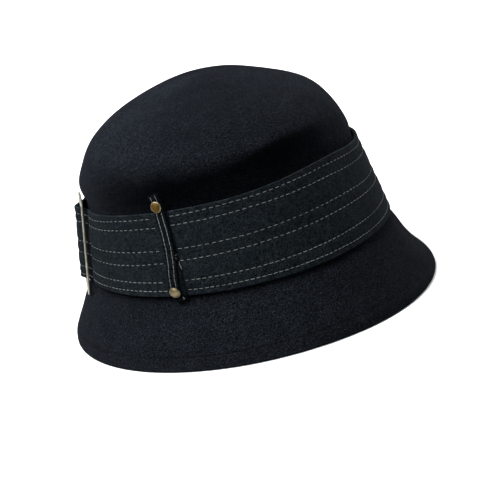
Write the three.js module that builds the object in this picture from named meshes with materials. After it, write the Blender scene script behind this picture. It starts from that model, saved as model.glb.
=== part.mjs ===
// A black wool felt cloche hat with a broad stitched leather band, a slide buckle and a riveted keeper.
// Millimetres, +Z up. The origin is on the ground at the middle of the brim's oval.
// -Y is the front, the buckle sits at the -X side, and the brim's hem stands on z = 0.
// Angles go round the ovals from +X (0) over the back (90) and the buckle side (180) to the front (270).
import * as THREE from "three";
import { mergeVertices } from "three/addons/utils/BufferGeometryUtils.js";

const touchGap = 0.35;

const felt = {
  wall: 2.6,
  hemThickness: 4.8,
  hemHeight: 7,
  hemStep: 0.6,
  footWidth: 4.2,
  segments: 72,
};

const brim = { halfWidth: 109.5, halfDepth: 117.5 };

const band = {
  bottomHeight: 39.8,
  bottomHalfWidth: 91.3,
  bottomHalfDepth: 102,
  centreX: -2.2,
  centreY: -1.8,
  taper: 0.2,
  leanX: -0.035,
  thickness: 2.4,
  jointAngle: 248.2,
  jointLean: -1.9,
  jointGap: 0.5,
  jointReach: 60,
  step: 5,
  fineStep: 1.25,
  fineReach: 14,
};

// The height of the band's upper edge round the hat: lowest at the buckle, highest at the front right.
const bandTopRows = [
  { angle: 0, height: 86.3 },
  { angle: 30, height: 84.2 },
  { angle: 90, height: 82.6 },
  { angle: 150, height: 81.6 },
  { angle: 180, height: 81 },
  { angle: 207, height: 81.6 },
  { angle: 226, height: 83.7 },
  { angle: 250, height: 85.8 },
  { angle: 278, height: 87.5 },
  { angle: 298, height: 89.5 },
  { angle: 313, height: 90.7 },
  { angle: 325, height: 90 },
  { angle: 342, height: 87.6 },
];

const buckle = {
  angle: 185,
  turn: 1.5,
  tilt: 0.6,
  height: 58.1,
  length: 55,
  width: 37,
  bar: 2.8,
  thickness: 1.4,
  cornerRadius: 2.6,
  windowRadius: 1,
  bevel: 0.35,
  sink: -0.3,
};

const strap = { width: 6, thickness: 1.5 };

const stud = { radius: 3.2, rim: 0.7, dome: 1.5, sides: 20, steps: 4 };

const studSeats = [
  { name: "stud_top", angle: 243.5, height: 89, out: 2.8, tilt: 7 },
  { name: "stud_bottom", angle: 245.2, height: 43.1, out: 3.5, tilt: 22 },
];

// How far the crown's foot stands inside the outer face of the band that goes round it.
const bandInset = band.thickness + touchGap;

const crownFoot = {
  halfWidth: band.bottomHalfWidth - bandInset,
  halfDepth: band.bottomHalfDepth - bandInset,
};

// The brim's rings from the edge up to the band. Spread is 1 at the edge and 0 at the crown.
const brimRows = [
  { height: 0, spread: 0.975 },
  { height: 1.4, spread: 1 },
  { height: 4.5, spread: 0.965 },
  { height: 8, spread: 0.855 },
  { height: 13, spread: 0.69 },
  { height: 19, spread: 0.52 },
  { height: 25, spread: 0.38 },
  { height: 31, spread: 0.26 },
  { height: 35.2, spread: 0.135 },
  { height: 38.4, spread: 0 },
];

// The crown's rings from the band's foot to the tip, round an axis that leans a little.
const crownRows = [
  { height: 46, halfWidth: 87.3, halfDepth: 98.0, shiftX: -2.4, shiftY: -1.8 },
  { height: 64, halfWidth: 83.7, halfDepth: 94.4, shiftX: -3.0, shiftY: -1.8 },
  { height: 79, halfWidth: 80.7, halfDepth: 91.4, shiftX: -3.6, shiftY: -1.8 },
  { height: 84, halfWidth: 79.5, halfDepth: 90.2, shiftX: -3.8, shiftY: -1.8 },
  { height: 88, halfWidth: 79.3, halfDepth: 89.8, shiftX: -4.5, shiftY: -2.2 },
  { height: 93, halfWidth: 80.1, halfDepth: 90.2, shiftX: -5.1, shiftY: -2.6 },
  { height: 100, halfWidth: 78.2, halfDepth: 88.2, shiftX: -5.2, shiftY: -2.8 },
  { height: 104, halfWidth: 76.5, halfDepth: 86.2, shiftX: -5.1, shiftY: -2.8 },
  { height: 108, halfWidth: 74.5, halfDepth: 83.8, shiftX: -5.0, shiftY: -2.8 },
  { height: 116, halfWidth: 68.9, halfDepth: 77.2, shiftX: -4.6, shiftY: -2.6 },
  { height: 123, halfWidth: 61, halfDepth: 68.0, shiftX: -4.2, shiftY: -2.2 },
  { height: 129, halfWidth: 49.4, halfDepth: 55.4, shiftX: -3.8, shiftY: -1.6 },
  { height: 134, halfWidth: 34.6, halfDepth: 40.4, shiftX: -3.4, shiftY: -1.2 },
  { height: 138.6, halfWidth: 20.0, halfDepth: 23.6, shiftX: -3.2, shiftY: -0.8 },
  { height: 141, halfWidth: 0, halfDepth: 0, shiftX: -3.2, shiftY: -0.8 },
];

// Soft hollows pressed into the felt's side, each climbing by its rise for each degree round the hat.
// Above and below are how far each one reaches up and down from its middle.
// A negative depth is a swelling, as at the brim's front right and over the buckle.
const sideDents = [
  { angle: 298, halfAngle: 46, height: 95.5, rise: 0, above: 14, below: 14, depth: 8 },
  { angle: 246, halfAngle: 48, height: 89.5, rise: 0.1, above: 13.5, below: 12, depth: 7 },
  { angle: 274, halfAngle: 62, height: 110.5, rise: 0.07, above: 14, below: 8, depth: -2.6 },
  { angle: 100, halfAngle: 55, height: 97, rise: 0, above: 15, below: 15, depth: 2.2 },
  { angle: 168, halfAngle: 58, height: 126, rise: 0, above: 14, below: 15, depth: 2.2 },
  { angle: 32, halfAngle: 50, height: 128, rise: 0, above: 11, below: 11, depth: 1.6 },
  { angle: 318, halfAngle: 40, height: 2, rise: 0, above: 34, below: 34, depth: -1.6 },
  { angle: 186, halfAngle: 27, height: 32.5, rise: 0, above: 9, below: 9, depth: 1.7 },
  { angle: 186, halfAngle: 45, height: 87.5, rise: 0, above: 16, below: 5.5, depth: -1.8 },
];

// The shallow dish in the crown's tip, pressed straight down.
const tipDish = { x: -4, y: 0, halfWidth: 40, halfDepth: 30, depth: 1.2, lowest: 100 };

// How far apart the points are that a surface's direction is worked out from.
const probe = { row: 0.05, angle: 0.5 };

const radians = (degrees) => (degrees * Math.PI) / 180;

// 1 in the middle, 0 at distance 1 and beyond, smooth at both.
const bump = (distance) => (Math.abs(distance) < 1 ? (1 - distance * distance) ** 2 : 0);

const ringAngles = (count) => Array.from({ length: count }, (_, step) => (step * 360) / count);

// Joins rings of equal length into one closed skin. An end ring that isn't a single point is capped.
function skin(rings) {
  const count = rings[0].length;
  const positions = rings.flat().flatMap((point) => point.toArray());
  const faces = [];
  for (let row = 0; row < rings.length - 1; row += 1) {
    for (let step = 0; step < count; step += 1) {
      const here = row * count + step;
      const next = row * count + ((step + 1) % count);
      faces.push(here, next, next + count, here, next + count, here + count);
    }
  }
  const last = (rings.length - 1) * count;
  for (let step = 1; step < count - 1; step += 1) {
    faces.push(0, step + 1, step, last, last + step, last + step + 1);
  }
  const geometry = new THREE.BufferGeometry();
  geometry.setAttribute("position", new THREE.Float32BufferAttribute(positions, 3));
  geometry.setIndex(faces);
  return welded(geometry);
}

// Merges shared corners and drops the faces that have no area.
function welded(source) {
  const bare = source.clone();
  bare.deleteAttribute("normal");
  bare.deleteAttribute("uv");
  const geometry = mergeVertices(bare, 1e-4);
  const index = geometry.getIndex().array;
  const faces = [];
  for (let corner = 0; corner < index.length; corner += 3) {
    const [a, b, c] = index.slice(corner, corner + 3);
    if (a !== b && b !== c && c !== a) faces.push(a, b, c);
  }
  geometry.setIndex(faces);
  geometry.computeVertexNormals();
  return geometry;
}

function brimRow({ height, spread }) {
  const mix = (inner, outer) => inner + (outer - inner) * spread;
  return {
    height,
    halfWidth: mix(crownFoot.halfWidth, brim.halfWidth),
    halfDepth: mix(crownFoot.halfDepth, brim.halfDepth),
    shiftX: band.centreX * (1 - spread ** 4),
    shiftY: band.centreY * (1 - spread ** 4),
  };
}

const feltRows = [...brimRows.map(brimRow), ...crownRows];
const tipRow = feltRows.length - 1;

// The rows' sizes and their centres as two smooth curves. The first row past the tip mirrors the last one.
const beyondTip = feltRows[tipRow - 1];
const sizeCurve = new THREE.CatmullRomCurve3([
  ...feltRows.map((row) => new THREE.Vector3(row.halfWidth, row.halfDepth, row.height)),
  new THREE.Vector3(-beyondTip.halfWidth, -beyondTip.halfDepth, beyondTip.height),
]);
const centreCurve = new THREE.CatmullRomCurve3([
  ...feltRows.map((row) => new THREE.Vector3(row.shiftX, row.shiftY, 0)),
  new THREE.Vector3(beyondTip.shiftX, beyondTip.shiftY, 0),
]);

function angleBetween(a, b) {
  return ((a - b + 540) % 360) - 180;
}

function dent(point, angle) {
  const outward = new THREE.Vector3(Math.cos(radians(angle)), Math.sin(radians(angle)), 0);
  for (const hollow of sideDents) {
    const turn = angleBetween(angle, hollow.angle);
    const across = bump(turn / hollow.halfAngle);
    const climb = point.z - hollow.height - hollow.rise * turn;
    const upward = bump(climb / (climb > 0 ? hollow.above : hollow.below));
    point.addScaledVector(outward, -hollow.depth * across * upward);
  }
  const dx = (point.x - tipDish.x) / tipDish.halfWidth;
  const dy = (point.y - tipDish.y) / tipDish.halfDepth;
  point.z -= point.z > tipDish.lowest ? tipDish.depth * bump(Math.hypot(dx, dy)) : 0;
  return point;
}

// A point of the felt's outer face. Row may be any number from 0, the hem's foot, to the tip's row.
function feltFace(row, angle) {
  const at = row / feltRows.length;
  const size = sizeCurve.getPoint(at);
  const centre = centreCurve.getPoint(at);
  const point = new THREE.Vector3(
    centre.x + size.x * Math.cos(radians(angle)),
    centre.y + size.y * Math.sin(radians(angle)),
    size.z,
  );
  return dent(point, angle);
}

const feltAlong = (row, angle) =>
  feltFace(row, angle + probe.angle).sub(feltFace(row, angle - probe.angle));

function feltNormal(row, angle) {
  const low = Math.max(row - probe.row, 0);
  const high = Math.min(row + probe.row, tipRow);
  const upward = feltFace(high, angle).sub(feltFace(low, angle));
  return feltAlong(row, angle).cross(upward).normalize();
}

function feltInside(row, angle, depth) {
  return feltFace(row, angle).addScaledVector(feltNormal(row, angle), -depth);
}

function feltBody() {
  const angles = ringAngles(felt.segments);
  const ring = (makePoint) => angles.map(makePoint);
  const outerRows = [];
  for (let row = 0; row <= tipRow; row += 1) {
    outerRows.push(row);
    if (row >= brimRows.length + 2 && row < tipRow) outerRows.push(row + 0.5);
  }
  const outer = outerRows.map((row) => ring((angle) => feltFace(row, angle)));

  const hemRows = brimRows.filter((row) => row.height > 0 && row.height < felt.hemHeight).length;
  const innerRows = outerRows.filter((row) => row > hemRows && row < tipRow && row % 1 === 0);
  const inner = innerRows.map((row) => ring((angle) => feltInside(row, angle, felt.wall)));
  const hemTop = ring((angle) => feltInside(hemRows + felt.hemStep, angle, felt.hemThickness));
  const hemLow = ring((angle) => feltInside(1, angle, felt.hemThickness));
  const foot = ring((angle) => {
    const along = feltAlong(0, angle);
    const inward = new THREE.Vector3(-along.y, along.x, 0).normalize();
    return feltFace(0, angle).addScaledVector(inward, felt.footWidth);
  });
  const tipInside = feltFace(tipRow, 0).add(new THREE.Vector3(0, 0, -felt.wall));
  const insideTip = ring(() => tipInside.clone());
  return skin([insideTip, ...inner.reverse(), hemTop, hemLow, foot, ...outer]);
}

const bandTopCurve = (() => {
  const rows = [-360, 0, 360].flatMap((turn) =>
    bandTopRows.map((row) => ({ angle: row.angle + turn, height: row.height })));
  return new THREE.CubicInterpolant(rows.map((row) => row.angle), rows.map((row) => row.height), 1);
})();

const bandTop = (angle) => bandTopCurve.evaluate(((angle % 360) + 360) % 360)[0];

// A point at a distance out from the cone that the band's outer face lies on.
function onBand(angle, height, out) {
  const drawnIn = band.taper * (height - band.bottomHeight);
  const halfWidth = band.bottomHalfWidth - drawnIn;
  const halfDepth = band.bottomHalfDepth - drawnIn;
  const cosine = Math.cos(radians(angle));
  const sine = Math.sin(radians(angle));
  const normal = new THREE.Vector3(halfDepth * cosine, halfWidth * sine, 0).normalize();
  const point = new THREE.Vector3(
    band.centreX + band.leanX * (height - band.bottomHeight) + halfWidth * cosine,
    band.centreY + halfDepth * sine,
    height,
  );
  return point.addScaledVector(normal, out);
}

const bandAlong = (angle, height, out) =>
  onBand(angle + probe.angle, height, out).sub(onBand(angle - probe.angle, height, out)).normalize();

// Millimetres along the band from the middle of the buckle.
const alongBand = (angle) =>
  onBand(angle, buckle.height, 0).distanceTo(onBand(buckle.angle, buckle.height, 0)) *
  Math.sign(angleBetween(angle, buckle.angle));

// The band climbs over the buckle's middle bar between its two outer bars, at the bar's own slant.
function bandLift(angle, height) {
  const reach = buckle.width / 2 - buckle.bar - 2 * touchGap;
  const above = height - buckle.height;
  const barOut = buckle.thickness - buckle.sink + above * Math.sin(radians(buckle.tilt));
  const barAlong = -above * Math.tan(radians(buckle.turn));
  const distance = (alongBand(angle) - barAlong) / reach;
  const climb = barOut + 2 * touchGap + band.thickness;
  return Math.abs(distance) < 1 ? climb * (0.5 + 0.5 * Math.cos(Math.PI * distance)) : 0;
}

function bandAngles() {
  const first = band.jointAngle + band.jointGap / 2;
  const last = band.jointAngle + 360 - band.jointGap / 2;
  const angles = [first];
  let angle = Math.ceil(first / band.step) * band.step;
  while (angle < last - band.fineStep) {
    angles.push(angle);
    const nearBuckle = Math.abs(angleBetween(angle, buckle.angle)) < band.fineReach;
    angle += nearBuckle ? band.fineStep : band.step;
  }
  angles.push(last);
  return angles;
}

// One strip from cut end to cut end. Its ends lean with the keeper that covers the joint.
function bandStrip() {
  const sections = bandAngles().map((angle) => {
    const toEnd = Math.abs(angleBetween(angle, band.jointAngle));
    const lean = band.jointLean * bump(toEnd / band.jointReach);
    const corner = (height, across, out) =>
      onBand(angle + lean * across, height, out + bandLift(angle, height));
    const top = bandTop(angle);
    return [
      corner(band.bottomHeight, 0, -band.thickness),
      corner(top, 1, -band.thickness),
      corner(top, 1, 0),
      corner(band.bottomHeight, 0, 0),
    ];
  });
  return skin(sections);
}

// Right-handed frame on the band's cone: x to the hat's left, y up the cone, z outwards.
function seatOnBand(mesh, angle, height, out, tilt = 0) {
  const place = onBand(angle, height, out);
  const up = onBand(angle, height + 1, out).sub(place).normalize();
  const along = bandAlong(angle, height, out);
  const outward = along.clone().cross(up).normalize();
  mesh.position.copy(place);
  mesh.quaternion.setFromRotationMatrix(new THREE.Matrix4().makeBasis(along, up, outward));
  mesh.rotateX(radians(tilt));
  return mesh;
}

function roundedPath(path, left, bottom, width, height, radius) {
  const right = left + width;
  const top = bottom + height;
  path.moveTo(left + radius, bottom);
  path.lineTo(right - radius, bottom);
  path.absarc(right - radius, bottom + radius, radius, -Math.PI / 2, 0, false);
  path.lineTo(right, top - radius);
  path.absarc(right - radius, top - radius, radius, 0, Math.PI / 2, false);
  path.lineTo(left + radius, top);
  path.absarc(left + radius, top - radius, radius, Math.PI / 2, Math.PI, false);
  path.lineTo(left, bottom + radius);
  path.absarc(left + radius, bottom + radius, radius, Math.PI, Math.PI * 1.5, false);
  return path;
}

// A slide buckle: one flat casting with two windows and a bar between them.
function buckleFrame() {
  const { width, length, bar, bevel, cornerRadius, windowRadius, thickness } = buckle;
  const outline = roundedPath(
    new THREE.Shape(),
    -width / 2 + bevel,
    -length / 2 + bevel,
    width - 2 * bevel,
    length - 2 * bevel,
    cornerRadius,
  );
  const windowWidth = (width - 3 * bar) / 2;
  const windowLength = length - 2 * bar;
  for (const left of [-width / 2 + bar, bar / 2]) {
    outline.holes.push(roundedPath(
      new THREE.Path(),
      left - bevel,
      -windowLength / 2 - bevel,
      windowWidth + 2 * bevel,
      windowLength + 2 * bevel,
      windowRadius,
    ));
  }
  return welded(new THREE.ExtrudeGeometry(outline, {
    depth: thickness - 2 * bevel,
    bevelEnabled: true,
    bevelThickness: bevel,
    bevelSize: bevel,
    bevelSegments: 1,
    curveSegments: 3,
  }).translate(0, 0, bevel));
}

// The keeper's run from its lower end to its upper end, with its inner face this far out from the band's.
const strapRows = [
  { height: 38.4, angle: 245.8, out: -0.2 },
  { height: 40, angle: 245, out: 0.4 },
  { height: 43, angle: 244.3, out: 0.5 },
  { height: 50, angle: 244.3, out: 0.5 },
  { height: 58, angle: 244.8, out: 0.45 },
  { height: 66, angle: 244.9, out: 0.45 },
  { height: 74, angle: 244.6, out: 0.45 },
  { height: 81, angle: 244, out: 0.45 },
  { height: 86, angle: 243.6, out: 0.5 },
  { height: 90, angle: 243.2, out: 0.8 },
  { height: 95.5, angle: 242.5, out: 1.9 },
];

function keeperStrap() {
  const sections = strapRows.map(({ height, angle, out }) => {
    const along = bandAlong(angle, height, 0);
    const corner = (side, depth) =>
      onBand(angle, height, out + depth).addScaledVector(along, (side * strap.width) / 2);
    return [corner(-1, 0), corner(-1, strap.thickness), corner(1, strap.thickness), corner(1, 0)];
  });
  return skin(sections);
}

// A domed rivet head with its flat side down on z = 0.
function studHead() {
  const profile = [new THREE.Vector2(0, 0), new THREE.Vector2(stud.radius, 0)];
  for (let step = 0; step <= stud.steps; step += 1) {
    const turn = (step / stud.steps) * (Math.PI / 2);
    profile.push(new THREE.Vector2(stud.radius * Math.cos(turn), stud.rim + stud.dome * Math.sin(turn)));
  }
  profile[profile.length - 1].x = 0;
  return welded(new THREE.LatheGeometry(profile, stud.sides).rotateX(Math.PI / 2));
}

const finish = (color, roughness, metalness) =>
  new THREE.MeshStandardMaterial({ color, roughness, metalness });
const feltFinish = finish(0x0d0e12, 1, 0);
const leatherFinish = finish(0x262a2a, 0.85, 0);
const nickelFinish = finish(0xb8b3a2, 0.35, 1);
const brassFinish = finish(0xb39a5c, 0.3, 1);

function named(name, geometry, material) {
  const mesh = new THREE.Mesh(geometry, material);
  mesh.name = name;
  return mesh;
}

const hat = new THREE.Group();
hat.name = "cloche_hat";
hat.add(named("felt_body", feltBody(), feltFinish));
hat.add(named("band", bandStrip(), leatherFinish));
hat.add(named("keeper_strap", keeperStrap(), leatherFinish));
hat.add(seatOnBand(
  named("buckle", buckleFrame(), nickelFinish),
  buckle.angle,
  buckle.height,
  -buckle.sink,
  buckle.tilt,
).rotateZ(radians(buckle.turn)));
for (const { name, angle, height, out, tilt } of studSeats) {
  hat.add(seatOnBand(named(name, studHead(), brassFinish), angle, height, out, tilt));
}

export default hat;
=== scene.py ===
# A black wool felt cloche with a broad stitched suede band, a slide buckle and a riveted keeper.
# Metres. The front is -Y, the buckle is at -X, and angles go round the hat's ovals from +X over the back.
import bpy
import math
import random
from mathutils import Matrix, Vector, noise
from mathutils.bvhtree import BVHTree


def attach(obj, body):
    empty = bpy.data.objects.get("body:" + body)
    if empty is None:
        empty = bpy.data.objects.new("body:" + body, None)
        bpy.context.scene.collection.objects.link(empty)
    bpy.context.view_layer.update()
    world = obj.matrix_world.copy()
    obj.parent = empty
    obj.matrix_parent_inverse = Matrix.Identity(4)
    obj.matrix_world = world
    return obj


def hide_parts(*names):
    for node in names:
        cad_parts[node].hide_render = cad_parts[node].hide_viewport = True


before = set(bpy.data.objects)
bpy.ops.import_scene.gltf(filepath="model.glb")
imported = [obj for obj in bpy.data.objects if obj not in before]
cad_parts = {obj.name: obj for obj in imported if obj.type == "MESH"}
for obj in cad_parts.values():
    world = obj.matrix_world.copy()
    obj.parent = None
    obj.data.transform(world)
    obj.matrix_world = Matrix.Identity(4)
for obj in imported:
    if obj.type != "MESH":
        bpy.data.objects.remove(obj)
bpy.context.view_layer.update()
mm = 0.001
random.seed(7)
print("frame loaded")


# small helpers

def makeActive(piece):
    bpy.ops.object.select_all(action="DESELECT")
    piece.select_set(True)
    bpy.context.view_layer.objects.active = piece


def applyModifier(piece, kind, **settings):
    makeActive(piece)
    modifier = piece.modifiers.new(kind.lower(), kind)
    for name, value in settings.items():
        setattr(modifier, name, value)
    bpy.ops.object.modifier_apply(modifier=modifier.name)


def roundEdges(piece, width, segments, above):  # of the edges that turn by more than this angle
    applyModifier(
        piece, "BEVEL", width=width, segments=segments, limit_method="ANGLE", angle_limit=math.radians(above))


def newPiece(name):  # names the primitive that was just added
    piece = bpy.context.object
    piece.name = name
    piece.data.name = name
    return piece


def joinPieces(pieces, name):
    makeActive(pieces[0])
    for piece in pieces:
        piece.select_set(True)
    bpy.ops.object.join()
    return newPiece(name)


def cleanMesh(piece):
    makeActive(piece)
    bpy.ops.object.mode_set(mode="EDIT")
    bpy.ops.mesh.select_all(action="SELECT")
    bpy.ops.mesh.remove_doubles(threshold=0.01 * mm)
    bpy.ops.mesh.normals_make_consistent(inside=False)
    bpy.ops.object.mode_set(mode="OBJECT")


def copyOnto(model, place, name="copy"):  # a copy with its own mesh, its place put in the mesh
    mesh = model.data.copy()
    mesh.transform(place)
    piece = bpy.data.objects.new(name, mesh)
    bpy.context.collection.objects.link(piece)
    return piece


def removePiece(piece):
    bpy.data.objects.remove(piece, do_unlink=True)


def normalsOf(piece):  # read before any vertex moves, because each move makes Blender work them out again
    return [vertex.normal.copy() for vertex in piece.data.vertices]


def treeOf(piece):
    mesh = piece.data
    return BVHTree.FromPolygons([v.co for v in mesh.vertices], [p.vertices for p in mesh.polygons])


def setMaterials(piece, *materials):
    piece.data.materials.clear()
    for material in materials:
        piece.data.materials.append(material)


def axesAt(place, side, upward, outward):  # a place with its own three directions
    return Matrix.Translation(place) @ Matrix((side, upward, outward)).transposed().to_4x4()


def mix(a, b, share):
    return a + (b - a) * share


def clamp(share):
    return min(max(share, 0), 1)


def bump(distance):  # 1 in the middle, 0 at distance 1
    return (1 - distance * distance) ** 2 if abs(distance) < 1 else 0.0


def turnOf(angle, other):  # from -180 to 180
    return (angle - other + 180) % 360 - 180


def interpolate(rows, at):  # rows of (position, value), sorted by position
    if at <= rows[0][0]:
        return rows[0][1]
    for low, high in zip(rows, rows[1:]):
        if at <= high[0]:
            return mix(low[1], high[1], (at - low[0]) / (high[0] - low[0]))
    return rows[-1][1]


# materials

def newMaterial(name):
    material = bpy.data.materials.new(name)
    material.use_nodes = True
    return material, material.node_tree, material.node_tree.nodes["Principled BSDF"]


def setSockets(node, values):
    for name, value in values.items():
        node.inputs[name].default_value = value


def addNode(tree, kind, values=None, **settings):
    node = tree.nodes.new(kind)
    for name, value in settings.items():
        setattr(node, name, value)
    setSockets(node, values or {})
    return node


def addNoise(tree, scale, detail, roughness, distortion=0.0):
    values = {"Scale": scale, "Detail": detail, "Roughness": roughness, "Distortion": distortion}
    node = addNode(tree, "ShaderNodeTexNoise", values)
    tree.links.new(addNode(tree, "ShaderNodeTexCoord").outputs["Object"], node.inputs["Vector"])
    return node.outputs["Fac"]


def addRamp(tree, source, stops):
    node = addNode(tree, "ShaderNodeValToRGB")
    ramp = node.color_ramp
    while len(ramp.elements) < len(stops):
        ramp.elements.new(0.5)
    for element, (position, colour) in zip(ramp.elements, stops):
        element.position = position
        element.color = (*colour, 1)
    tree.links.new(source, node.inputs["Fac"])
    return node.outputs["Color"]


def mixColours(tree, share, first, second, blend="MIX"):
    node = addNode(tree, "ShaderNodeMix", data_type="RGBA", blend_type=blend)
    for source, socket in ((share, node.inputs[0]), (first, node.inputs[6]), (second, node.inputs[7])):
        if isinstance(source, bpy.types.NodeSocket):
            tree.links.new(source, socket)
        elif isinstance(source, tuple):
            socket.default_value = (*source, 1)
        else:
            socket.default_value = source
    return node.outputs[2]


def addBump(tree, height, bumpSize, below=None):
    node = addNode(tree, "ShaderNodeBump", {"Strength": bumpSize[0], "Distance": bumpSize[1]})
    tree.links.new(height, node.inputs["Height"])
    if below is not None:
        tree.links.new(below, node.inputs["Normal"])
    return node.outputs["Normal"]


def addShade(tree, base, source, edges, dark):  # dark where the source is low, plain where it is high
    shade = addRamp(tree, source, [(edges[0], dark), (edges[1], (1, 1, 1))])
    return mixColours(tree, 1.0, base, shade, "MULTIPLY")


def addMask(tree, source, edges, most=1.0):  # 0 where the source is low, and most where it is high
    return addRamp(tree, source, [(edges[0], (0, 0, 0)), (edges[1], (most, most, most))])


def addTone(tree, base):  # the mesh's tone as setTone stores it, painted shade and painted light among it
    tone = addNode(tree, "ShaderNodeAttribute", attribute_name="tone").outputs["Fac"]
    return mixColours(tree, 1.0, base, tone, "MULTIPLY")


def setTone(piece, toneAt):  # how light the surface is at each point, with its painted shade and painted light, 1 being plain
    places = [vertex.co.copy() for vertex in piece.data.vertices]
    tone = piece.data.attributes.new("tone", "FLOAT", "POINT")
    for value, place in zip(tone.data, places):
        value.value = toneAt(place)


# in every finish a noise is (scale, detail, roughness, distortion), a bump is (strength, depth),
# and the edges are where a noise turns from its low colour into its high one
feltFinish = {
    "dark": (0.0002, 0.0003, 0.0005),
    "light": (0.0082, 0.0099, 0.0128),
    "fleck": (0.042, 0.048, 0.060),
    "cloud": (0.72, 0.72, 0.74),
    "napNoise": (1500, 6, 0.7),
    "napEdges": (0.43, 0.58),
    "napBump": (0.55, 0.35 * mm),
    "fibreNoise": (1950, 3, 0.6, 1.5),
    "fibreEdges": (0.6, 0.68),
    "fibreBump": (0.5, 0.15 * mm),
    "cloudNoise": (70, 4, 0.6),
    "cloudEdges": (0.3, 0.7),
    "cloudBump": (0.25, 0.6 * mm),
    "sockets": {
        "Roughness": 0.95,
        "Specular IOR Level": 0.003,
        "Sheen Weight": 0.006,
        "Sheen Roughness": 0.45,
        "Sheen Tint": (0.62, 0.68, 0.78, 1),
    },
}


def makeFelt():
    material, tree, shader = newMaterial("blackWoolFelt")
    nap = addNoise(tree, *feltFinish["napNoise"])
    fibre = addNoise(tree, *feltFinish["fibreNoise"])
    cloud = addNoise(tree, *feltFinish["cloudNoise"])
    low, high = feltFinish["napEdges"]
    base = addRamp(tree, nap, [(low, feltFinish["dark"]), (high, feltFinish["light"])])
    base = mixColours(tree, addMask(tree, fibre, feltFinish["fibreEdges"]), base, feltFinish["fleck"])
    base = addShade(tree, base, cloud, feltFinish["cloudEdges"], feltFinish["cloud"])
    tree.links.new(addTone(tree, base), shader.inputs["Base Color"])
    setSockets(shader, feltFinish["sockets"])
    soft = addBump(tree, cloud, feltFinish["cloudBump"])
    rough = addBump(tree, nap, feltFinish["napBump"], soft)
    fine = addBump(tree, fibre, feltFinish["fibreBump"], rough)
    tree.links.new(fine, shader.inputs["Normal"])
    return material


suedeFinish = {
    "dark": (0.0002, 0.0006, 0.0009),
    "light": (0.0134, 0.0174, 0.0208),
    "worn": (0.014, 0.017, 0.018),
    "cloud": (0.72, 0.74, 0.74),
    "mottle": (0.55, 0.56, 0.58),
    "grainNoise": (1600, 5, 0.65),
    "grainEdges": (0.40, 0.63),
    "grainBump": (0.6, 0.15 * mm),
    "poreNoise": (640, 3, 0.5, 0.6),
    "poreBump": (0.4, 0.25 * mm),
    "mottleNoise": (330, 4, 0.6),
    "mottleEdges": (0.36, 0.64),
    "cloudNoise": (60, 5, 0.62),
    "cloudEdges": (0.28, 0.72),
    "wornEdges": (0.54, 0.62),
    "wornShare": 0.35,
    "sockets": {
        "Roughness": 0.88,
        "Specular IOR Level": 0.005,
        "Sheen Weight": 0.009,
        "Sheen Roughness": 0.4,
        "Sheen Tint": (0.7, 0.8, 0.8, 1),
    },
}


def makeSuede(name, shade=1.0):
    material, tree, shader = newMaterial(name)
    grain = addNoise(tree, *suedeFinish["grainNoise"])
    pores = addNoise(tree, *suedeFinish["poreNoise"])
    cloud = addNoise(tree, *suedeFinish["cloudNoise"])
    mottle = addNoise(tree, *suedeFinish["mottleNoise"])
    edge = addNode(tree, "ShaderNodeNewGeometry").outputs["Pointiness"]
    dark = tuple(part * shade for part in suedeFinish["dark"])
    light = tuple(part * shade for part in suedeFinish["light"])
    low, high = suedeFinish["grainEdges"]
    base = addRamp(tree, grain, [(low, dark), (high, light)])
    base = addShade(tree, base, cloud, suedeFinish["cloudEdges"], suedeFinish["cloud"])
    base = addShade(tree, base, mottle, suedeFinish["mottleEdges"], suedeFinish["mottle"])
    wear = addMask(tree, edge, suedeFinish["wornEdges"], suedeFinish["wornShare"])
    base = mixColours(tree, wear, base, suedeFinish["worn"])
    tree.links.new(addTone(tree, base), shader.inputs["Base Color"])
    setSockets(shader, suedeFinish["sockets"])
    coarse = addBump(tree, pores, suedeFinish["poreBump"])
    fine = addBump(tree, grain, suedeFinish["grainBump"], coarse)
    tree.links.new(fine, shader.inputs["Normal"])
    return material


threadFinish = {
    "cloud": (0.7, 0.7, 0.7),
    "plyNoise": (2200, 3, 0.6),
    "plyEdges": (0.35, 0.65),
    "plyBump": (0.6, 0.08 * mm),
    "cloudNoise": (60, 3, 0.5),
    "cloudEdges": (0.3, 0.7),
    "sockets": {"Roughness": 0.8, "Specular IOR Level": 0.05},
}


def makeThread(name, dark, light):
    material, tree, shader = newMaterial(name)
    ply = addNoise(tree, *threadFinish["plyNoise"])
    cloud = addNoise(tree, *threadFinish["cloudNoise"])
    low, high = threadFinish["plyEdges"]
    base = addRamp(tree, ply, [(low, dark), (high, light)])
    base = addShade(tree, base, cloud, threadFinish["cloudEdges"], threadFinish["cloud"])
    tree.links.new(base, shader.inputs["Base Color"])
    setSockets(shader, threadFinish["sockets"])
    tree.links.new(addBump(tree, ply, threadFinish["plyBump"]), shader.inputs["Normal"])
    return material


metalFinish = {
    "patinaNoise": (220, 6, 0.65),
    "patinaEdges": (0.36, 0.62),
    "scratchNoise": (1500, 2, 0.5),
    "scratchEdges": (0.3, 0.7),
    "scratchBump": (0.25, 0.05 * mm),
    "hollowEdges": (0.40, 0.49),  # grime lies where the surface is hollow
    "smoother": 0.08,  # how far the scratches take the roughness down and up
    "rougher": 0.14,
}


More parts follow.
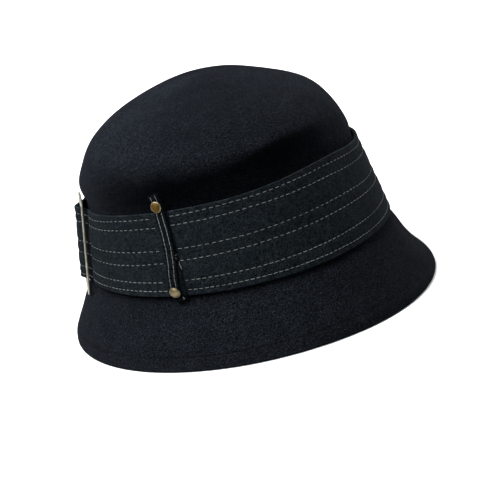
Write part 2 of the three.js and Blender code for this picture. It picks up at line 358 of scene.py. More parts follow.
def makeMetal(name, bright, dull, grime, roughness):
    material, tree, shader = newMaterial(name)
    patina = addNoise(tree, *metalFinish["patinaNoise"])
    scratch = addNoise(tree, *metalFinish["scratchNoise"])
    edge = addNode(tree, "ShaderNodeNewGeometry").outputs["Pointiness"]
    low, high = metalFinish["patinaEdges"]
    base = addRamp(tree, patina, [(low, dull), (high, bright)])
    low, high = metalFinish["hollowEdges"]
    hollow = addRamp(tree, edge, [(low, (1, 1, 1)), (high, (0, 0, 0))])
    base = mixColours(tree, hollow, base, grime)
    tree.links.new(addTone(tree, base), shader.inputs["Base Color"])
    shader.inputs["Metallic"].default_value = 1.0
    low, high = metalFinish["scratchEdges"]
    smooth, rough = roughness - metalFinish["smoother"], roughness + metalFinish["rougher"]
    rubbed = addRamp(tree, scratch, [(low, (smooth, smooth, smooth)), (high, (rough, rough, rough))])
    tree.links.new(rubbed, shader.inputs["Roughness"])
    tree.links.new(addBump(tree, scratch, metalFinish["scratchBump"]), shader.inputs["Normal"])
    return material


feltMaterial = makeFelt()
suedeMaterial = makeSuede("charcoalSuede")
strapMaterial = makeSuede("keeperSuede", shade=0.5)
paleThread = makeThread("paleThread", dark=(0.052, 0.056, 0.056), light=(0.145, 0.152, 0.150))
blackThread = makeThread("blackThread", dark=(0.0004, 0.0004, 0.0005), light=(0.0012, 0.0012, 0.0014))
nickelMaterial = makeMetal(
    "agedNickel", roughness=0.42,
    bright=(0.36, 0.35, 0.30), dull=(0.22, 0.21, 0.16), grime=(0.03, 0.025, 0.012))
brassMaterial = makeMetal(
    "agedBrass", roughness=0.68,
    bright=(0.074, 0.042, 0.010), dull=(0.042, 0.024, 0.006), grime=(0.012, 0.008, 0.003))
# paler brass for the rivets' rims: rubbed wear and a painted highlight
rimWearAndHighlightMaterial = makeMetal(
    "rubbedBrassAndHighlight", roughness=0.5,
    bright=(0.17, 0.14, 0.085), dull=(0.09, 0.072, 0.04), grime=(0.02, 0.015, 0.007))
print("materials made")


# felt body: one shell drawn up ring by ring, its edge folded under as a hem

feltBody = {
    "centre": Vector((-2.4 * mm, -1.8 * mm, 0)),
    "tip": Vector((-4.0 * mm, -1.8 * mm, 0)),
    "ovalX": 0.93,  # the oval's width as a share of its depth
    "segments": 72,
    "reach": 300 * mm,  # rays onto the frame's shape start this far out
    "lowestCast": 0.05 * mm,
    "sideHeights": (1.5, 3, 5, 7, 7.6, 8.3, 9, 10.6, 13, 19, 25, 31, 35.2, 38.4, 42, 52, 64,
                    76, 80, 83, 86, 89, 93, 96.5, 100, 102.7, 105.4, 108, 110.5, 113.5, 117, 120, 123),
    "topRadii": (61, 54, 46, 38, 30, 22, 14, 7),
    "wall": 2.6 * mm,
    "hemWall": 4.7 * mm,
    "hemTop": 9.5 * mm,
    "hemFloor": 1.8 * mm,
    "foot": 4.2 * mm,
    "seamHeight": 8.3 * mm,
    "seamDepth": 0.55 * mm,
    "unevenness": 0.35 * mm,
    "waveSize": 32 * mm,
    "rippleShare": 0.4,  # smaller waves within the large ones
    "rippleScale": 3.1,
    "evenBelow": 3 * mm,
}


def feltDirection(angle):
    return Vector((feltBody["ovalX"] * math.cos(math.radians(angle)), math.sin(math.radians(angle)), 0))


def castOnto(tree, centre, direction):
    direction = direction.normalized()
    return tree.ray_cast(centre + direction * feltBody["reach"], -direction)[:2]  # its point and normal


def feltRings():  # from the edge up to the tip
    rings = [("foot", 0.0)] + [("side", height * mm) for height in feltBody["sideHeights"]]
    return rings + [("top", radius * mm) for radius in feltBody["topRadii"]]


def drawFeltRings(rings):  # one above the other, 1 mm apart, so that a vertex's height tells its ring
    bpy.ops.mesh.primitive_circle_add(
        vertices=feltBody["segments"], radius=100 * mm, fill_type="NOTHING", enter_editmode=True)
    for ring in rings[1:]:
        bpy.ops.mesh.extrude_region_move(TRANSFORM_OT_translate={"value": (0, 0, 1 * mm)})
    bpy.ops.object.mode_set(mode="OBJECT")
    felt = newPiece("felt_hat")
    return felt, [rings[round(vertex.co.z / mm)] for vertex in felt.data.vertices]


def blockFelt(felt, ringOf):  # every ring laid on the frame's own shape, with the seam pressed in
    solid = treeOf(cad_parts["felt_body"])
    for vertex, (kind, at) in zip(felt.data.vertices, ringOf):
        outward = feltDirection(math.degrees(math.atan2(vertex.co.y, vertex.co.x)))
        if kind == "top":
            point, normal = castOnto(solid, feltBody["tip"] + outward * at, Vector((0, 0, 1)))
        else:
            height = Vector((0, 0, max(at, feltBody["lowestCast"])))
            point, normal = castOnto(solid, feltBody["centre"] + height, outward)
        if kind == "side" and abs(at - feltBody["seamHeight"]) < 0.1 * mm:
            point -= normal * feltBody["seamDepth"]
        vertex.co = point
        if kind == "foot":
            vertex.co.z = 0


def closeTip(felt, ringOf, lastRing):
    makeActive(felt)
    bpy.ops.object.mode_set(mode="EDIT")
    bpy.ops.mesh.select_all(action="DESELECT")
    bpy.ops.object.mode_set(mode="OBJECT")
    for vertex, ring in zip(felt.data.vertices, ringOf):
        vertex.select = ring == lastRing
    bpy.ops.object.mode_set(mode="EDIT")
    bpy.ops.mesh.select_mode(type="VERT")
    bpy.ops.mesh.edge_face_add()
    bpy.ops.mesh.poke()
    bpy.ops.mesh.select_all(action="SELECT")
    bpy.ops.mesh.normals_make_consistent(inside=False)
    bpy.ops.object.mode_set(mode="OBJECT")
    if sum(polygon.normal.z * polygon.area for polygon in felt.data.polygons) < 0:
        felt.data.flip_normals()


def foldHem(felt, ringOf):  # the wall made, and the edge folded under inside it
    count = len(felt.data.vertices)
    applyModifier(felt, "SOLIDIFY", thickness=feltBody["wall"], offset=-1, use_even_offset=False)
    for index, (kind, at) in enumerate(ringOf):
        outside = felt.data.vertices[index].co.copy()
        inside = felt.data.vertices[index + count]
        inward = Vector((-outside.x, -outside.y, 0)).normalized()
        if kind == "foot":
            inside.co = outside + inward * feltBody["foot"]
        elif kind == "side" and at < feltBody["hemTop"]:
            height = max(at, feltBody["hemFloor"])
            inside.co = Vector((outside.x, outside.y, height)) + inward * feltBody["hemWall"]


def makeFeltBody():
    rings = feltRings()
    felt, ringOf = drawFeltRings(rings)
    blockFelt(felt, ringOf)
    closeTip(felt, ringOf, rings[-1])
    foldHem(felt, ringOf)
    applyModifier(felt, "SUBSURF", levels=2, render_levels=2)
    for vertex, normal in zip(felt.data.vertices, normalsOf(felt)):  # hand-blocked felt is never quite even
        place = vertex.co / feltBody["waveSize"]
        wave = noise.noise(place) + feltBody["rippleShare"] * noise.noise(place * feltBody["rippleScale"])
        fade = min(vertex.co.z / feltBody["evenBelow"], 1)
        vertex.co += normal * wave * feltBody["unevenness"] * fade
    felt.data.shade_smooth()
    setMaterials(felt, feltMaterial)
    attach(felt, "root")
    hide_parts("felt_body")
    return felt


felt = makeFeltBody()
feltTree = treeOf(felt)
print("felt body made", len(felt.data.polygons))


# band: one suede strip on its own cone, cut at the keeper, sewn in six rows

band = {
    "bottom": 39.8 * mm,
    "halfWidth": 91.3 * mm,
    "halfDepth": 102 * mm,
    "centreX": -2.2 * mm,
    "centreY": -1.8 * mm,
    "taper": 0.2,
    "leanX": -0.035,
    "joint": 248.2,
    "jointLean": -1.9,
    "jointReach": 60,
    "start": 0.15,  # degrees from the joint to the right-hand end
    "end": 359.85,
    "tuckFrom": 357.3,  # the left-hand end dips under the keeper, and its step is darkened with painted shade
    "tuckFade": 0.8,
    "tuckDepth": 0.35 * mm,
    "thickness": 2.1 * mm,
    "columns": 320,
    "plainRows": (0.0, 0.015, 0.11, 0.23, 0.285, 0.34, 0.47, 0.60, 0.67, 0.735, 0.86, 0.965, 0.985, 1.0),
    "rowWidth": 0.02,  # the mesh's rows beside each sewn one, as a share of the breadth
    "rowReach": 0.03,  # how far each sewn row draws the suede in, as the same share
    "rowDepth": 0.3 * mm,
    "puff": 0.22 * mm,
    "puffReach": 0.06,
    "unevenness": 0.25 * mm,
    "waveAlong": 0.12,  # waves for each degree, and across the breadth
    "waveAcross": 3,
    "fray": 0.35,  # how far the cut ends wander, in degrees
    "frayAcross": 34,
    "rounding": 0.5 * mm,
    "roundedOver": 50,
}

# how it climbs over the buckle's middle bar
bandClimb = {
    "angle": 185,
    "height": 58.1 * mm,
    "rise": 4.8 * mm,
    "reach": 15 * mm,
    "slant": -0.026,
    "tilt": 0.0105,
    "press": 18.6 * mm,  # where the outer bars press it in, from the middle bar
    "pressReach": 4 * mm,
    "pressDepth": 0.9 * mm,
}

# the sewn rows from the lowest up, as shares of the band's breadth, with the length of one stitch and
# its gap, the degrees from the joint where they start and stop, and how each one wanders on its way
bandRows = (
    {"across": 0.055, "pitch": 3.2 * mm, "first": 1.6, "last": 354.2,
     "run": ((3, 0.063), (80, 0.058), (314, 0.045), (332, 0.058), (350, 0.063))},
    {"across": 0.170, "pitch": 3.4 * mm, "first": 1.3, "last": 352.7,
     "run": ((3, 0.175), (50, 0.183), (90, 0.195), (314, 0.160), (350, 0.168))},
    {"across": 0.400, "pitch": 3.8 * mm, "first": 1.3, "last": 354.4,
     "run": ((3, 0.410), (35, 0.434), (90, 0.428), (314, 0.358), (344, 0.380), (350, 0.393))},
    {"across": 0.540, "pitch": 3.9 * mm, "first": 1.6, "last": 354.8,
     "run": ((3, 0.550), (45, 0.564), (90, 0.550), (314, 0.523), (350, 0.543))},
    {"across": 0.800, "pitch": 3.7 * mm, "first": 1.1, "last": 355.4,
     "run": ((3, 0.830), (30, 0.840), (75, 0.797), (314, 0.798), (350, 0.820))},
    {"across": 0.920, "pitch": 3.8 * mm, "first": 1.4, "last": 353.2,
     "run": ((3, 0.935), (25, 0.950), (75, 0.918), (314, 0.908), (335, 0.929), (350, 0.933))},
)


def onBand(angle, height, out=0.0):
    above = height - band["bottom"]
    halfWidth = band["halfWidth"] - band["taper"] * above
    halfDepth = band["halfDepth"] - band["taper"] * above
    cosine = math.cos(math.radians(angle))
    sine = math.sin(math.radians(angle))
    normal = Vector((halfDepth * cosine, halfWidth * sine, 0)).normalized()
    centre = Vector((band["centreX"] + band["leanX"] * above, band["centreY"], height))
    return centre + Vector((halfWidth * cosine, halfDepth * sine, 0)) + normal * out


def alongOf(place):  # a place's degrees from the joint
    above = place.z - band["bottom"]
    sine = (place.y - band["centreY"]) / (band["halfDepth"] - band["taper"] * above)
    cosine = (place.x - band["centreX"] - band["leanX"] * above) / (band["halfWidth"] - band["taper"] * above)
    return (math.degrees(math.atan2(sine, cosine)) - band["joint"]) % 360


def bandTopHeights():  # the frame's own upper edge as rows of (degrees from the joint, height)
    rows = {}
    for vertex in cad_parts["band"].data.vertices:
        if vertex.co.z - band["bottom"] > 1 * mm:
            along = (alongOf(vertex.co) + 10) % 360 - 10  # from -10 up, past the joint's own place at 0
            rows[round(along)] = (along, vertex.co.z)
    return sorted(rows.values())


bandTopRows = bandTopHeights()


def bandTop(along):  # evened out over a few degrees
    return sum(interpolate(bandTopRows, along + step) for step in (-4, -2, 0, 2, 4)) / 5


def fromBar(angle, height):  # how far along the band from the buckle's middle bar
    bar = onBand(bandClimb["angle"], bandClimb["height"])
    distance = (onBand(angle, bandClimb["height"]) - bar).length
    distance = math.copysign(distance, turnOf(angle, bandClimb["angle"]))
    return distance - bandClimb["slant"] * (height - bandClimb["height"])


def bandLift(angle, height):  # the climb over the buckle's middle bar, pressed in beside its outer ones
    climb = bandClimb["rise"] + bandClimb["tilt"] * (height - bandClimb["height"])
    distance = abs(fromBar(angle, height))
    press = bandClimb["pressDepth"] * bump((distance - bandClimb["press"]) / bandClimb["pressReach"])
    return climb * (0.5 + 0.5 * math.cos(math.pi * min(distance / bandClimb["reach"], 1))) - press


def rowPlace(along, across):  # the sewn rows wander, and the suede between them with them
    knots = [(row["across"], interpolate(row["run"], along % 360)) for row in bandRows]
    return interpolate([(0.0, 0.0)] + knots + [(1.0, 1.0)], across)


def bandPoint(along, across, out=0.0):  # along in degrees from the joint, across from 0 below to 1
    across = rowPlace(along, across)
    toEnd = min(along, 360 - along)
    shifted = along + band["jointLean"] * bump(toEnd / band["jointReach"]) * across
    height = mix(band["bottom"], bandTop(shifted), across)
    angle = band["joint"] + shifted
    return onBand(angle, height, out + bandLift(angle, height))


def bandSeat(along, across, out=0.0):  # x along the band, y up it, z out of it
    place = bandPoint(along, across, out)
    tangent = (bandPoint(along + 0.2, across) - bandPoint(along - 0.2, across)).normalized()
    upward = (bandPoint(along, across + 0.02) - bandPoint(along, across - 0.02)).normalized()
    outward = tangent.cross(upward).normalized()
    return axesAt(place, tangent, outward.cross(tangent), outward)


bandShade = {
    "tuck": 0.62,  # painted shade in the step beside the keeper
    "end": 0.55,  # painted shade at the right-hand end, and plain again over the next degrees
    "endFrom": 0.3,
    "endFade": 1.2,
    "ragged": 0.5,
    "raggedSize": 2.5 * mm,
    "besideBar": 14 * mm,  # painted shadow beside the buckle's outer bars, this far from the middle bar
    "barReach": 3.6 * mm,
    "barShare": 0.96,
    "rubbed": 2.2,  # along the upper edge
    "rubbedFrom": 0.5 * mm,
    "rubbedFade": 0.4 * mm,
}


# the band's tone: painted shade beside the keeper and at the right-hand end, painted shadow beside the
# buckle's outer bars, and lighter along the upper edge
def bandTone(place):
    along = alongOf(place)
    top = bandTop(along)
    across = (place.z - band["bottom"]) / (top - band["bottom"])
    toEnd = min(along, 360 - along)
    joint = band["jointLean"] * bump(toEnd / band["jointReach"]) * across
    ragged = bandShade["ragged"] * noise.noise(place / bandShade["raggedSize"])
    pastJoint = turnOf(along, joint)
    if band["tuckFrom"] - 360 < pastJoint < 0:
        tone = bandShade["tuck"]
    else:
        fromEnd = (pastJoint % 360 - bandShade["endFrom"]) / bandShade["endFade"]
        tone = mix(bandShade["end"], 1.0, clamp(fromEnd + ragged))
    distance = abs(fromBar(band["joint"] + along, place.z))
    tone *= 1 - bandShade["barShare"] * bump((distance - bandShade["besideBar"]) / bandShade["barReach"])
    rubbed = clamp((place.z - top + bandShade["rubbedFrom"]) / bandShade["rubbedFade"])
    return tone * mix(1.0, bandShade["rubbed"], rubbed)


def makeBand():
    seams = [row["across"] for row in bandRows]
    acrossRows = set(band["plainRows"])
    for seam in seams:
        acrossRows |= {seam - band["rowWidth"], seam, seam + band["rowWidth"]}
    acrossRows = sorted(acrossRows)
    last = len(acrossRows) - 1
    bpy.ops.mesh.primitive_grid_add(x_subdivisions=band["columns"], y_subdivisions=last, size=2)
    strip = newPiece("suede_band")
    for vertex in strip.data.vertices:
        share = (vertex.co.x + 1) / 2
        across = acrossRows[round((vertex.co.y + 1) / 2 * last)]
        along = mix(band["start"], band["end"], share)
        nearest = min(abs(across - seam) for seam in seams)
        out = band["puff"] * min(nearest / band["puffReach"], 1)
        out -= band["rowDepth"] * bump(nearest / band["rowReach"])
        wave = noise.noise(Vector((along * band["waveAlong"], across * band["waveAcross"], 4)))
        out += band["unevenness"] * wave
        out -= band["tuckDepth"] * clamp((along - band["tuckFrom"]) / band["tuckFade"])
        if share < 0.001 or share > 0.999:
            along += band["fray"] * noise.noise(Vector((share * 9, across * band["frayAcross"], 2)))
        vertex.co = bandPoint(along, across, out)
    applyModifier(strip, "SOLIDIFY", thickness=band["thickness"], offset=-1)
    roundEdges(strip, band["rounding"], 3, band["roundedOver"])
    strip.data.shade_smooth()
    setTone(strip, bandTone)
    setMaterials(strip, suedeMaterial)
    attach(strip, "root")
    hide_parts("band")
    return strip


bandStrip = makeBand()
print("band made", len(bandStrip.data.polygons))


# painted shade on the felt: nearly black in the fold above the band, along the band's lower edge and in the
# hem seam's groove, with painted light and shade round the crown and brim

feltShade = {
    # painted shade, nearly black, in the fold above the band
    "foldTone": 0.18,
    "rimBelow": 2,  # the painted shade starts to fade this far below the fold's rim, in mm as the rows' heights
    # the crown's painted light and shade comes in from this height, in mm, over crownFade mm
    "crownFrom": 106,
    "crownFade": 12,
    # painted shade under the band's lower edge: how far down it reaches, and how strong it is at each angle
    "underReach": 7 * mm,
    "underShares": ((196, 0.4), (215, 0.55), (235, 0.75), (250, 0.85), (262, 0.65), (290, 0.5), (340, 0.3)),
    # painted shade in the hem seam's groove
    "seamReach": 0.9 * mm,
    "seamShare": 0.22,
}

# the fold's upper rim round the front: angle, height, how far above it the painted shade fades out, how deep
# the painted shade is
foldRows = (
    (198, 98, 16, 0.0),
    (210, 99, 15, 0.35),
    (220, 99, 15, 0.65),
    (235, 99, 15, 0.9),
    (246, 100, 15, 1.0),
    (257, 99, 14, 1.0),
    (265, 99.5, 13, 1.0),
    (272, 101, 8, 1.0),
    (278, 103, 5, 1.0),
    (286, 106, 4, 1.0),
    (297, 109, 4, 1.0),
    (315, 107, 6, 0.8),
    (332, 103, 8, 0.35),
    (350, 98, 8, 0.0),
)

# painted light and shade round the hat: angle, the brim's tone, the crown's tone
paintedLightAndShadeRows = (
    (150, 1.0, 1.0),
    (196, 0.92, 1.3),
    (215, 0.9, 1.3),
    (235, 0.88, 1.05),
    (255, 0.95, 0.92),
    (275, 0.95, 0.84),
    (292, 0.85, 0.84),
    (308, 0.7, 0.9),
    (340, 0.7, 1.05),
    (360, 1.0, 1.0),
)


def rowValues(rows, angle):  # each value of the rows at this angle
    return [interpolate([(row[0], row[part]) for row in rows], angle) for part in range(1, len(rows[0]))]


# the felt's tone: painted shade in the fold, under the band and in the hem seam, and painted light and shade
# by angle
def feltTone(place):
    offset = place - feltBody["centre"]
    angle = math.degrees(math.atan2(offset.y, offset.x / feltBody["ovalX"])) % 360
    height = place.z / mm
    rim, fade, depth = rowValues(foldRows, angle)
    brim, crown = rowValues(paintedLightAndShadeRows, angle)
    if place.z > band["bottom"]:
        share = clamp((height - rim + feltShade["rimBelow"]) / (fade + feltShade["rimBelow"]))
        share = share * share * (3 - 2 * share)
        tone = mix(1.0, mix(feltShade["foldTone"], 1.0, share), depth)
        tone *= mix(1.0, crown, clamp((height - feltShade["crownFrom"]) / feltShade["crownFade"]))
    else:
        tone = brim
    underBand = bump((place.z - band["bottom"]) / feltShade["underReach"])
    seam = bump((place.z - feltBody["seamHeight"]) / feltShade["seamReach"])
    tone *= 1 - interpolate(feltShade["underShares"], angle) * underBand
    return tone * (1 - feltShade["seamShare"] * seam)


setTone(felt, feltTone)


# stitches: one crowned dash of thread, copied along every row

stitch = {
    "length": 2.5 * mm,
    "radius": 0.18 * mm,
    "sink": 0.05 * mm,
    "sides": 6,
    "core": 0.6,  # its even middle, as a share of the length
    "tipWidth": 0.55,
    "dive": 1.5,  # how deep the ends go into their holes, in radii
    "turnBy": 0.05,
    "slipAlong": 0.08 * mm,
    "slipAcross": 0.06 * mm,
    "stretch": (0.9, 1.08),
    "looseFrom": 300,  # the stitches are longer apart from here to the joint
    "loosePitch": 1.12,
    "turnedRow": 2,  # this row turns down at the joint, its loose end above it
    "turnedDown": ((0.2, 0.372, 92), (0.45, 0.325, 97), (-0.75, 0.478, 35), (-0.9, 0.462, 125)),
}


def makeDash(length=stitch["length"], radius=stitch["radius"]):
    bpy.ops.mesh.primitive_cylinder_add(
        vertices=stitch["sides"], radius=radius, depth=length * stitch["core"], end_fill_type="NGON",
        rotation=(0, math.pi / 2, 0))
    dash = newPiece("dash")
    bpy.ops.object.transform_apply(location=False, rotation=True, scale=False)
    bpy.ops.object.mode_set(mode="EDIT")
    bpy.ops.mesh.select_mode(type="FACE")
    for side in (-1, 1):
        bpy.ops.mesh.select_all(action="DESELECT")
        bpy.ops.object.mode_set(mode="OBJECT")
        for polygon in dash.data.polygons:
            polygon.select = polygon.normal.x * side > 0.9
        bpy.ops.object.mode_set(mode="EDIT")
        tip = side * length * (1 - stitch["core"]) / 2
        bpy.ops.mesh.extrude_region_move(TRANSFORM_OT_translate={"value": (tip, 0, 0)})
        bpy.ops.transform.resize(value=(1, stitch["tipWidth"], stitch["tipWidth"]))
    bpy.ops.object.mode_set(mode="OBJECT")
    for vertex in dash.data.vertices:
        vertex.co.z -= radius * stitch["dive"] * (vertex.co.x / (length / 2)) ** 2
    dash.data.shade_smooth()
    return dash


def layDashes(dash, places, name, material):
    copies = []
    for place in places:
        turn = Matrix.Rotation(random.uniform(-stitch["turnBy"], stitch["turnBy"]), 4, "Z")
        slipAlong = random.uniform(-stitch["slipAlong"], stitch["slipAlong"])
        slipAcross = random.uniform(-stitch["slipAcross"], stitch["slipAcross"])
        slip = Matrix.Translation((slipAlong, slipAcross, 0))
        stretch = Matrix.Diagonal((random.uniform(*stitch["stretch"]), 1, 1, 1))
        copies.append(copyOnto(dash, place @ slip @ turn @ stretch))
    row = joinPieces(copies, name)
    setMaterials(row, material)
    row.data.shade_smooth()
    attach(row, "root")
    return row


def bandRowPlaces(row):
    places = []
    along = row["first"]
    while along < row["last"]:
        places.append(bandSeat(along, row["across"], stitch["sink"] - band["rowDepth"] / 2))
        halfDegree = (bandPoint(along + 0.5, row["across"]) - bandPoint(along, row["across"])).length
        pitch = row["pitch"] * (stitch["loosePitch"] if along > stitch["looseFrom"] else 1)
        along += 0.5 * pitch / halfDegree
    return places


def makeBandStitches():
    dash = makeDash()
    rows = []
    for number, row in enumerate(bandRows):
        places = bandRowPlaces(row)
        if number == stitch["turnedRow"]:
            for along, across, turn in stitch["turnedDown"]:
                seat = bandSeat(along, across, band["puff"] + stitch["radius"])
                places.append(seat @ Matrix.Rotation(math.radians(turn), 4, "Z"))
        piece = layDashes(dash, places, "band_stitches_%d" % (number + 1), paleThread)
        rows.append(piece)
    removePiece(dash)
    return rows


bandStitches = makeBandStitches()
print("band stitches made", sum(len(row.data.polygons) for row in bandStitches))


hemStitch = {"pitch": 3.6 * mm, "length": 2.7 * mm, "radius": 0.32 * mm, "out": 0.1 * mm, "last": 359.2}


def makeHemStitches():
    dash = makeDash(hemStitch["length"], hemStitch["radius"])
    centre = feltBody["centre"] + Vector((0, 0, feltBody["seamHeight"]))
    places = []
    angle = 0.0
    while angle < hemStitch["last"]:
        point, normal = castOnto(feltTree, centre, feltDirection(angle))
        ahead = castOnto(feltTree, centre, feltDirection(angle + 0.5))[0]
        tangent = (ahead - point).normalized()
        outward = (normal - tangent * normal.dot(tangent)).normalized()
        places.append(axesAt(point + outward * hemStitch["out"], tangent, outward.cross(tangent), outward))
        angle += 0.5 * hemStitch["pitch"] / (ahead - point).length
    piece = layDashes(dash, places, "hem_stitches", blackThread)
    removePiece(dash)
    return piece


hemStitches = makeHemStitches()
print("hem stitches made", len(hemStitches.data.polygons))


# keeper: a narrow strap over the band's joint, a rivet at each end

keeper = {
    "width": 6 * mm,
    "thickness": 1.5 * mm,
    "columns": 8,
    "stepsPerRow": 4,
    "seam": 1.55 * mm,
    "seamDepth": 0.25 * mm,
    "seamReach": 0.8 * mm,
    "crowning": 0.25 * mm,
    "ragged": 0.25 * mm,
    "raggedAlong": 2.2,
    "rounding": 0.35 * mm,
    "roundedOver": 50,
    "tailTop": 42 * mm,
    "tailTone": 0.55,
    "stitchLength": 2.9 * mm,
    "stitchRadius": 0.2 * mm,
    "stitchPitch": 2.5 * mm,
    "stitchSink": 0.12 * mm,
    "tailStitch": 0.5,  # where along the run the one stitch below the lower rivet lies, on the right
    "aboveRivet": 3.1,  # and where the stitches come out from under that rivet
    "lastStitch": 1.4,  # they end this far before the run does
}

# its run from the curled tail up to the end above the upper rivet: height, angle, how far out, twist
keeperRun = (
    (37.6, 246.8, 0.6, 30),
    (38.6, 245.9, 0.3, 20),
    (40.4, 245.0, 0.4, 8),
    (43, 244.3, 0.5, 0),
    (50, 244.3, 0.5, 0),
    (58, 244.8, 0.45, 0),
    (66, 244.9, 0.45, 0),
    (74, 244.6, 0.45, 0),
    (81, 244.0, 0.45, 0),
    (86, 243.6, 0.5, 0),
    (90, 243.2, 0.8, 0),
    (93, 242.9, 1.4, 0),
    (95.5, 242.5, 1.9, 0),
)


def keeperSection(at):  # the run's four values at a row, or part of the way to the next one
    low = min(int(at), len(keeperRun) - 2)
    share = at - low
    height, angle, out, twist = (mix(a, b, share) for a, b in zip(keeperRun[low], keeperRun[low + 1]))
    return height * mm, angle, out * mm, twist


def keeperFrame(at):  # x across the strap, y up it, z out of it
    height, angle, out, twist = keeperSection(at)
    place = onBand(angle, height, out)
    ahead = keeperSection(min(at + 0.1, len(keeperRun) - 1))
    behind = keeperSection(max(at - 0.1, 0))
    upward = (onBand(ahead[1], ahead[0], ahead[2]) - onBand(behind[1], behind[0], behind[2])).normalized()
    side = (onBand(angle + 0.5, height) - onBand(angle - 0.5, height)).normalized()
    side = (side - upward * side.dot(upward)).normalized()
    return axesAt(place, side, upward, side.cross(upward)) @ Matrix.Rotation(math.radians(-twist), 4, "Z")


def makeKeeper():
    last = len(keeperRun) - 1
    bpy.ops.mesh.primitive_grid_add(
        x_subdivisions=keeper["columns"], y_subdivisions=keeper["stepsPerRow"] * last, size=2)
    strap = newPiece("keeper_strap_suede")
    for vertex in strap.data.vertices:
        across = vertex.co.x  # -1 at the left edge, 1 at the right
        at = (vertex.co.y + 1) / 2 * last
        side = across * keeper["width"] / 2
        seam = bump((abs(side) - keeper["seam"]) / keeper["seamReach"])
        out = keeper["thickness"] - keeper["seamDepth"] * seam - keeper["crowning"] * across ** 4
        if abs(across) > 0.9:
            side += keeper["ragged"] * noise.noise(Vector((at * keeper["raggedAlong"], across * 2, 7)))
        vertex.co = keeperFrame(at) @ Vector((side, 0, out))
    applyModifier(strap, "SOLIDIFY", thickness=keeper["thickness"] - 0.1 * mm, offset=-1)
    roundEdges(strap, keeper["rounding"], 2, keeper["roundedOver"])
    applyModifier(strap, "SUBSURF", levels=1, render_levels=1)
    strap.data.shade_smooth()
    setTone(strap, lambda place: keeper["tailTone"] if place.z < keeper["tailTop"] else 1.0)
    setMaterials(strap, strapMaterial)
    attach(strap, "root")
    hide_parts("keeper_strap")
    return strap


def makeKeeperStitches():
    dash = makeDash(keeper["stitchLength"], keeper["stitchRadius"])
    quarterTurn = Matrix.Rotation(math.pi / 2, 4, "Z")
    out = keeper["thickness"] - keeper["stitchSink"]
    rows = []
    for name, side, first in (("left", -1, keeper["aboveRivet"]), ("right", 1, keeper["tailStitch"])):
        places = []
        at = first
        while at < len(keeperRun) - keeper["lastStitch"]:
            places.append(keeperFrame(at) @ Matrix.Translation((side * keeper["seam"], 0, out)) @ quarterTurn)
            ahead = (keeperFrame(at + 0.05).translation - keeperFrame(at).translation).length
            at = max(at + 0.05 * keeper["stitchPitch"] / ahead, keeper["aboveRivet"])
        piece = layDashes(dash, places, "keeper_stitches_" + name, paleThread)
        rows.append(piece)
    removePiece(dash)
    return rows


keeperStrap = makeKeeper()
keeperStitches = makeKeeperStitches()
print("keeper made")


# rivets: a spun domed head with a rolled rim

rivet = {
    "radius": 3.2 * mm,
    "height": 2.2 * mm,
    "sides": 40,
    "profile": (  # from the foot to the crown, in radii and heights
        (0.80, 0.00), (0.94, 0.00), (1.00, 0.14), (1.00, 0.30), (0.95, 0.40),
        (0.88, 0.44), (0.80, 0.60), (0.62, 0.80), (0.40, 0.93), (0.16, 0.99)),
    "dent": 0.05 * mm,
    "dentSize": 1.1 * mm,
    "skirt": 0.5 * mm,  # painted shade below this height, at the head's foot
    "skirtShadeTone": 0.15,
}


def spinHead(name):
    profile = rivet["profile"]
    foot = rivet["radius"] * profile[0][0]
    bpy.ops.mesh.primitive_circle_add(
        vertices=rivet["sides"], radius=foot, fill_type="NGON", enter_editmode=True)
    for (share, rise), (nextShare, nextRise) in zip(profile, profile[1:]):
        lift = (nextRise - rise) * rivet["height"]
        bpy.ops.mesh.extrude_region_move(TRANSFORM_OT_translate={"value": (0, 0, lift)})
        bpy.ops.transform.resize(value=(nextShare / share, nextShare / share, 1))
    bpy.ops.object.mode_set(mode="OBJECT")
    head = newPiece(name)
    cleanMesh(head)
    return head


def makeRivet(node, angle, height, out, tilt, rimShare):  # rubbed pale, with a painted highlight, outside that share of the radius
    head = spinHead(node + "_head")
    for vertex, normal in zip(head.data.vertices, normalsOf(head)):  # small dents from wear
        dent = noise.noise(vertex.co / rivet["dentSize"] + Vector((angle, 0, 0)))
        vertex.co += normal * rivet["dent"] * dent
    place = onBand(angle, height, out)
    upward = (onBand(angle, height + 1 * mm, out) - place).normalized()
    side = (onBand(angle + 0.5, height, out) - onBand(angle - 0.5, height, out)).normalized()
    outward = side.cross(upward).normalized()
    seat = axesAt(place, side, upward, outward) @ Matrix.Rotation(math.radians(tilt), 4, "X")
    axis = seat.to_3x3() @ Vector((0, 0, 1))
    head.data.transform(seat)
    applyModifier(head, "SUBSURF", levels=1, render_levels=1)
    head.data.shade_smooth()

    def rivetTone(point):
        return mix(rivet["skirtShadeTone"], 1.0, clamp((point - place).dot(axis) / rivet["skirt"]))

    setTone(head, rivetTone)
    setMaterials(head, brassMaterial, rimWearAndHighlightMaterial)
    for polygon in head.data.polygons:
        away = polygon.center - place
        away -= axis * away.dot(axis)
        polygon.material_index = 1 if away.length > rivet["radius"] * rimShare else 0
    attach(head, "root")
    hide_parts(node)
    return head


rivetTop = makeRivet("stud_top", angle=243.5, height=89 * mm, out=2.8 * mm, tilt=7, rimShare=0.84)
rivetBottom = makeRivet("stud_bottom", angle=245.2, height=43.1 * mm, out=3.5 * mm, tilt=22, rimShare=0)
print("rivets made")


# buckle: the flat casting, softened and worn, with painted shade and grime towards its underside

buckleWearAndShade = {
    "rounding": 0.35 * mm,
    "roundedOver": 25,
    "shadeAndGrimeTop": 1.2 * mm,  # painted shade and grime below this height, towards the underside
    "shadeAndGrimeTone": 0.05,
}


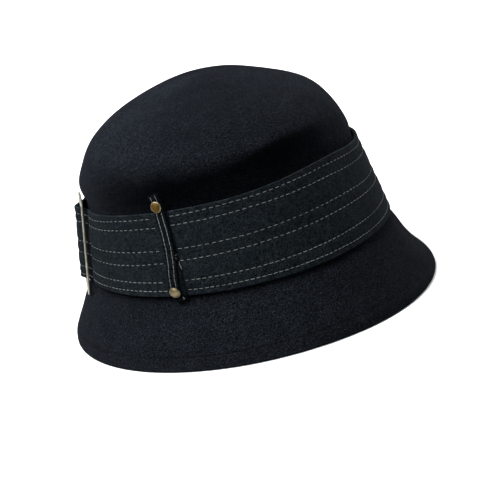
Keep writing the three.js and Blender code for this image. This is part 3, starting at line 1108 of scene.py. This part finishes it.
def makeBuckle():
    cast = copyOnto(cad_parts["buckle"], Matrix.Identity(4), "buckle_cast")
    cleanMesh(cast)
    bpy.ops.object.mode_set(mode="EDIT")
    bpy.ops.mesh.select_all(action="SELECT")
    bpy.ops.mesh.dissolve_limited(angle_limit=math.radians(1))
    bpy.ops.object.mode_set(mode="OBJECT")
    roundEdges(cast, buckleWearAndShade["rounding"], 3, buckleWearAndShade["roundedOver"])
    cast.data.shade_smooth()
    outward = max(cast.data.polygons, key=lambda polygon: polygon.area).normal.copy()
    outward *= -math.copysign(1, outward.x)
    underside = min(vertex.co.dot(outward) for vertex in cast.data.vertices)

    # painted shade and grime: darker towards the underside
    def buckleTone(point):
        height = (point.dot(outward) - underside) / buckleWearAndShade["shadeAndGrimeTop"]
        return mix(buckleWearAndShade["shadeAndGrimeTone"], 1.0, min(height, 1) ** 2)

    setTone(cast, buckleTone)
    setMaterials(cast, nickelMaterial)
    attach(cast, "root")
    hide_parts("buckle")
    return cast


buckleCast = makeBuckle()
print("buckle made")


# floor, light and camera

studio = {
    "floorSize": 8,
    "floorColour": (0.7, 0.7, 0.7, 1),
    "floorRoughness": 0.9,
    "skyColour": (1, 1, 1, 1),
    "skyStrength": 0.08,
}


def makeStage():
    bpy.ops.mesh.primitive_plane_add(size=studio["floorSize"])
    floor = newPiece("floor")
    material, tree, shader = newMaterial("paleFloor")
    setSockets(shader, {"Base Color": studio["floorColour"], "Roughness": studio["floorRoughness"]})
    setMaterials(floor, material)
    world = bpy.data.worlds.new("studio")
    world.use_nodes = True
    sky = world.node_tree.nodes["Background"]
    setSockets(sky, {"Color": studio["skyColour"], "Strength": studio["skyStrength"]})
    bpy.context.scene.world = world
    bpy.context.scene.view_settings.view_transform = "Standard"


studioLights = (
    {"name": "key", "place": (-0.75, -0.9, 1.45), "aim": (0, 0, 0.06), "size": 1.2, "power": 80},
    {"name": "side", "place": (1.35, 0.75, 0.8), "aim": (0, 0, 0.08), "size": 0.9, "power": 34},
    {"name": "edge", "place": (-1.2, 0.5, 1.5), "aim": (0, 0, 0.08), "size": 0.7, "power": 33},
    {"name": "backdrop", "place": (0, 2.0, 1.6), "aim": (0, 1.9, 0), "size": 1.6, "power": 60},
)


def makeLights():
    for light in studioLights:
        bpy.ops.object.light_add(type="AREA", location=light["place"])
        lamp = bpy.context.object
        lamp.name = light["name"]
        lamp.data.shape = "DISK"
        lamp.data.size = light["size"]
        lamp.data.energy = light["power"]
        lamp.rotation_euler = (Vector(light["aim"]) - lamp.location).to_track_quat("-Z", "Y").to_euler()


camera = {
    "place": Vector((0, -970.1 * mm, 312.6 * mm)),
    "aim": Vector((2.67 * mm, -9.85 * mm, 31.6 * mm)),
    "lens": 121.97,
    "sensor": 36,
    "roll": 12.645,
}


def makeCamera():
    bpy.ops.object.camera_add(location=camera["place"])
    lens = bpy.context.object
    lens.data.lens = camera["lens"]
    lens.data.sensor_width = camera["sensor"]
    level = (camera["aim"] - camera["place"]).to_track_quat("-Z", "Y").to_matrix()
    roll = Matrix.Rotation(math.radians(-camera["roll"]), 3, "Z")
    lens.rotation_euler = (level @ roll).to_euler()
    bpy.context.scene.camera = lens


makeStage()
makeLights()
makeCamera()
print("stage, lights and camera made")
